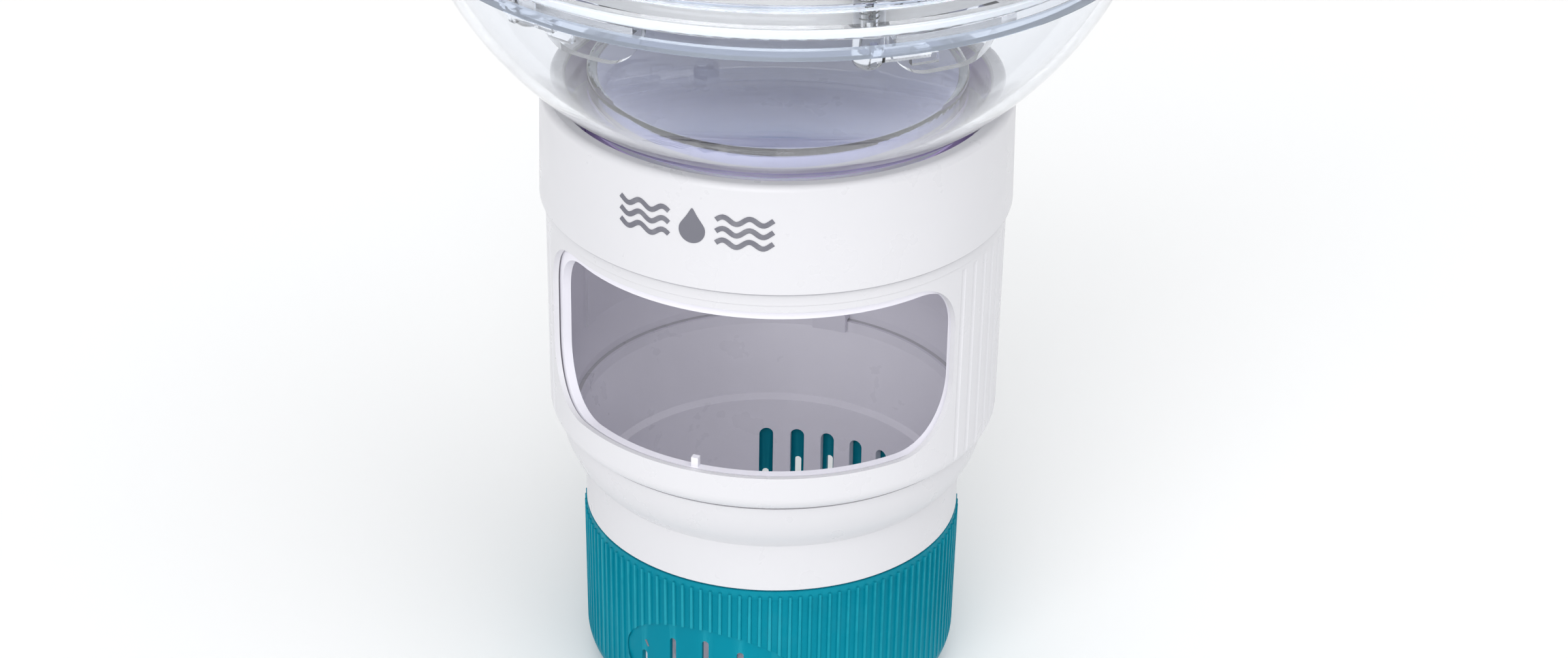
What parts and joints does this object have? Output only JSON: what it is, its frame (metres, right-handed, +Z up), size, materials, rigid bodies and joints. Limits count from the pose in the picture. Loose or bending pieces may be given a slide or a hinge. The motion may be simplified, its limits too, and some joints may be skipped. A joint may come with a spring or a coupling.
{
  "type": "floating chlorine dispenser",
  "caption": "Floating pool dispenser: clear lighted globe over a white windowed tablet chamber with a turning sleeve and a ribbed teal flow ring at the foot.",
  "frame": {"origin": "centre of the flat base that it stands on", "axes": "+Z up the middle towards the globe, -Y the front, where the flow slots and the collar's mark are; the window faces the front and a little towards +X"},
  "size_m": [0.185, 0.185, 0.333],
  "materials": {
    "clear_shell": "polished clear plastic",
    "white_shell": "satin-gloss white moulding",
    "white_inner": "white moulding, satin",
    "teal_ring": "satin teal moulding",
    "frosted": "frosted translucent plastic",
    "silicone": "translucent silicone",
    "steel": "bright screws",
    "galvanised": "dull galvanised weight",
    "circuit": "white lacquered circuit board",
    "led_lens": "clear LED lens",
    "battery_wrap": "shrink-wrapped cell",
    "black_plastic": "black moulding",
    "photovoltaic": "dark solar cell under resin",
    "grey": "soft grey cap and printed mark"
  },
  "bodies": {
    "housing": {"lower_bowl": "clear_shell", "tray_screws": "steel", "light_tray": "white_inner", "led_board": "circuit", "leds": "led_lens", "light_diffuser": "frosted", "board_screws": "steel", "battery": "battery_wrap", "battery_holder": "black_plastic", "battery_contacts": "steel", "panel_plate": "white_inner", "solar_cell": "photovoltaic", "panel_screws": "steel", "switch_board": "circuit", "power_switch": "black_plastic", "collar": "white_shell", "bowl_gasket": "silicone", "inner_cage": "white_inner", "cage_screws": "steel", "tablet_cup": "white_shell", "ballast_weight": "galvanised", "hub_cap": "white_inner", "hub_screw": "steel"},
    "dome": {"upper_dome": "clear_shell", "globe_seal": "silicone"},
    "sleeve": {"window_sleeve": "white_shell"},
    "ring": {"flow_ring": "teal_ring"},
    "button": {"power_button": "grey"}
  },
  "joints": [
    {"name": "sleeve_turn", "type": "hinge", "parent": "housing", "child": "sleeve", "pos_m": [0, 0, 0.105], "axis": [0, 0, 1], "range_deg": [0, 180]},
    {"name": "flow_ring_turn", "type": "hinge", "parent": "housing", "child": "ring", "pos_m": [0, 0, 0.023], "axis": [0, 0, 1], "range_deg": [0, 90]},
    {"name": "dome_turn", "type": "hinge", "parent": "housing", "child": "dome", "pos_m": [0, 0, 0.2185], "axis": [0, 0, 1], "range_deg": [0, 28]},
    {"name": "power_button_press", "type": "slide", "parent": "housing", "child": "button", "axis": [0, 0, -1], "range_m": [0, 0.0012], "stiffness_N_per_m": 600, "springref_m": -0.0006}
  ]
}
